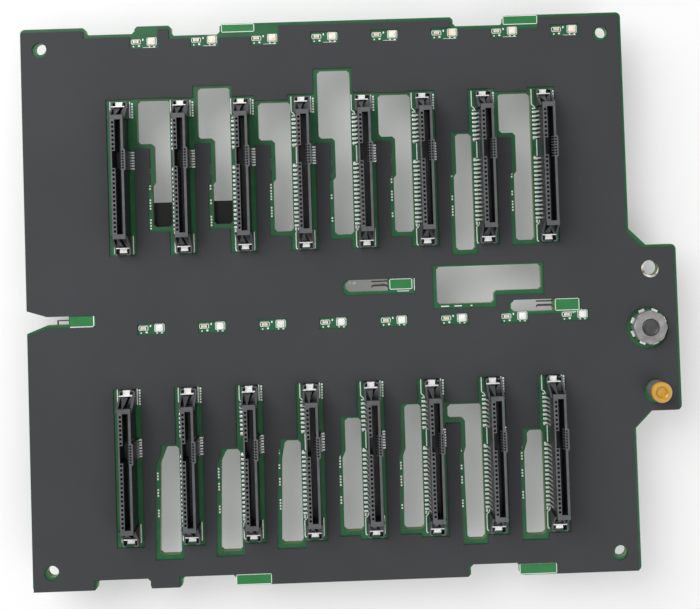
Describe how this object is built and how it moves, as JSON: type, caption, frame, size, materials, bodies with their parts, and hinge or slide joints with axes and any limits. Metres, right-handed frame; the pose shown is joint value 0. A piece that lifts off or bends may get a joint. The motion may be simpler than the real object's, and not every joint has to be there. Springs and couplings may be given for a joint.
{
  "type": "drive backplane board",
  "caption": "Bare server drive backplane: green board under dark film, two rows of upright drive sockets, air openings, hook slots and a spring plunger on a side ear.",
  "frame": {"origin": "centre of the four corner holes on the board's front face", "axes": "+X along the rows of sockets, towards the side ear; +Y up the board; +Z out of the front face, the way the drives pull out"},
  "size_m": [0.1944, 0.167, 0.023],
  "materials": {
    "green_board": "green solder mask over glass fibre",
    "charcoal_film": "thin dark film",
    "black_housing": "moulded housing",
    "solder": "tinned contact tails",
    "bright_metal": "plated metal",
    "tan_chip": "small chip",
    "cream_chip": "pale lens",
    "spring_steel": "dark wire",
    "amber_cap": "amber moulding",
    "gold_contacts": "gold plated pins"
  },
  "bodies": {
    "backplane": {"circuit_board": "green_board", "insulator_sheet": "charcoal_film", "drive_socket_01": "black_housing", "drive_socket_02": "black_housing", "drive_socket_03": "black_housing", "drive_socket_04": "black_housing", "drive_socket_05": "black_housing", "drive_socket_06": "black_housing", "drive_socket_07": "black_housing", "drive_socket_08": "black_housing", "drive_socket_09": "black_housing", "drive_socket_10": "black_housing", "drive_socket_11": "black_housing", "drive_socket_12": "black_housing", "drive_socket_13": "black_housing", "drive_socket_14": "black_housing", "drive_socket_15": "black_housing", "drive_socket_16": "black_housing", "socket_contacts_01": "solder", "socket_contacts_02": "solder", "socket_contacts_03": "solder", "socket_contacts_04": "solder", "socket_contacts_05": "solder", "socket_contacts_06": "solder", "socket_contacts_07": "solder", "socket_contacts_08": "solder", "socket_contacts_09": "solder", "socket_contacts_10": "solder", "socket_contacts_11": "solder", "socket_contacts_12": "solder", "socket_contacts_13": "solder", "socket_contacts_14": "solder", "socket_contacts_15": "solder", "socket_contacts_16": "solder", "board_locks_upper_row": "bright_metal", "board_locks_lower_row": "bright_metal", "small_leds_upper_row": "tan_chip", "small_leds_middle_row": "tan_chip", "large_leds_upper_row": "cream_chip", "large_leds_middle_row": "cream_chip", "hook_slot_springs": "spring_steel", "plunger_housing": "bright_metal", "plunger_spring": "spring_steel", "guide_post": "bright_metal", "guide_post_cap": "amber_cap", "power_header": "black_housing", "power_header_pins": "gold_contacts", "controller_chip": "black_housing", "cable_socket_1": "black_housing", "cable_tongue_1": "black_housing", "cable_socket_2": "black_housing", "cable_tongue_2": "black_housing", "cable_socket_3": "black_housing", "cable_tongue_3": "black_housing", "cable_socket_4": "black_housing", "cable_tongue_4": "black_housing"},
    "plunger": {"plunger_pin": "bright_metal", "plunger_knob": "black_housing"}
  },
  "joints": [
    {"name": "plunger_slide", "type": "slide", "parent": "backplane", "child": "plunger", "axis": [0, 0, 1], "range_m": [-0.0025, 0], "stiffness_N_per_m": 200, "springref_m": 0.002, "deforming": ["plunger_spring"]}
  ]
}
